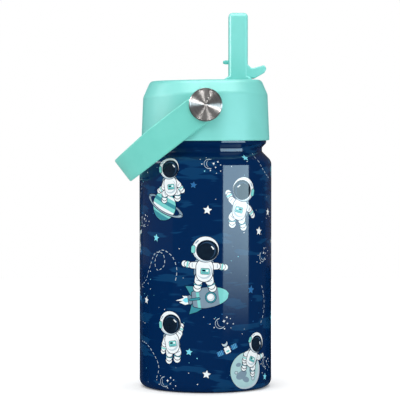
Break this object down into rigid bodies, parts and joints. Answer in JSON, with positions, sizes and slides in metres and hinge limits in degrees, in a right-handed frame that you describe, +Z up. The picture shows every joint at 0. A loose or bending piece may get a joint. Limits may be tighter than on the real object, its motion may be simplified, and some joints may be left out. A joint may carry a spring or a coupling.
{
  "type": "water bottle",
  "caption": "Kids' insulated steel water bottle with a screw lid, flip-up drinking spout, inner straw and a side-hung carry strap.",
  "frame": {"origin": "centre of the foot ring's flat face, on the bottle's axis", "axes": "+Z up along the bottle's axis; +X towards the raised spout; the strap hangs on the -X side and turns about a line parallel to Y"},
  "size_m": [0.0859, 0.0808, 0.2062],
  "materials": {
    "printed_coat": "glossy navy coat with a pale night-sky print",
    "inner_steel": "electropolished inside",
    "base_steel": "circular brushed",
    "glass_bead": "fused",
    "getter_metal": "sintered",
    "clear_silicone": "translucent satin",
    "mint_plastic": "satin moulded",
    "mint_spout": "satin moulded",
    "mint_soft": "soft-touch matt",
    "plug_plastic": "moulded",
    "straw_plastic": "translucent extruded",
    "turned_steel": "face turned",
    "screw_steel": "plain",
    "bush_plastic": "moulded"
  },
  "bodies": {
    "bottle": {"outer_shell": "printed_coat", "inner_vessel": "inner_steel", "outer_base": "base_steel", "vacuum_seal": "glass_bead", "base_cover": "base_steel", "getter": "getter_metal"},
    "seal_ring": {"lid_gasket": "clear_silicone"},
    "lid": {"lid_shell": "mint_plastic", "lid_core": "plug_plastic", "spout_seal": "clear_silicone", "straw_socket": "plug_plastic", "straw": "straw_plastic", "vent_valve": "clear_silicone", "button_front": "turned_steel", "pivot_screw_front": "screw_steel", "pivot_bush_front": "bush_plastic", "button_rear": "turned_steel", "pivot_screw_rear": "screw_steel", "pivot_bush_rear": "bush_plastic"},
    "spout": {"flip_spout": "mint_spout", "spout_pins": "screw_steel", "vent_plug": "mint_soft"},
    "handle": {"carry_strap": "mint_soft"}
  },
  "joints": [
    {"name": "lid_lift", "type": "slide", "parent": "bottle", "child": "seal_ring", "axis": [0, 0, 1], "range_m": [0, 0.00505]},
    {"name": "lid_turn", "type": "hinge", "parent": "seal_ring", "child": "lid", "pos_m": [0, 0, 0.1375], "axis": [0, 0, 1], "range_deg": [0, 450]},
    {"name": "spout_flip", "type": "hinge", "parent": "lid", "child": "spout", "pos_m": [0.018, 0, 0.161], "axis": [0, -1, 0], "range_deg": [0, 90]},
    {"name": "handle_swing", "type": "hinge", "parent": "lid", "child": "handle", "pos_m": [0, 0, 0.1555], "axis": [0, 1, 0], "range_deg": [-3, 258]}
  ],
  "couplings": [
    {"joint": "lid_lift", "follows": "lid_turn", "m_per_rad": 0.00063662}
  ]
}
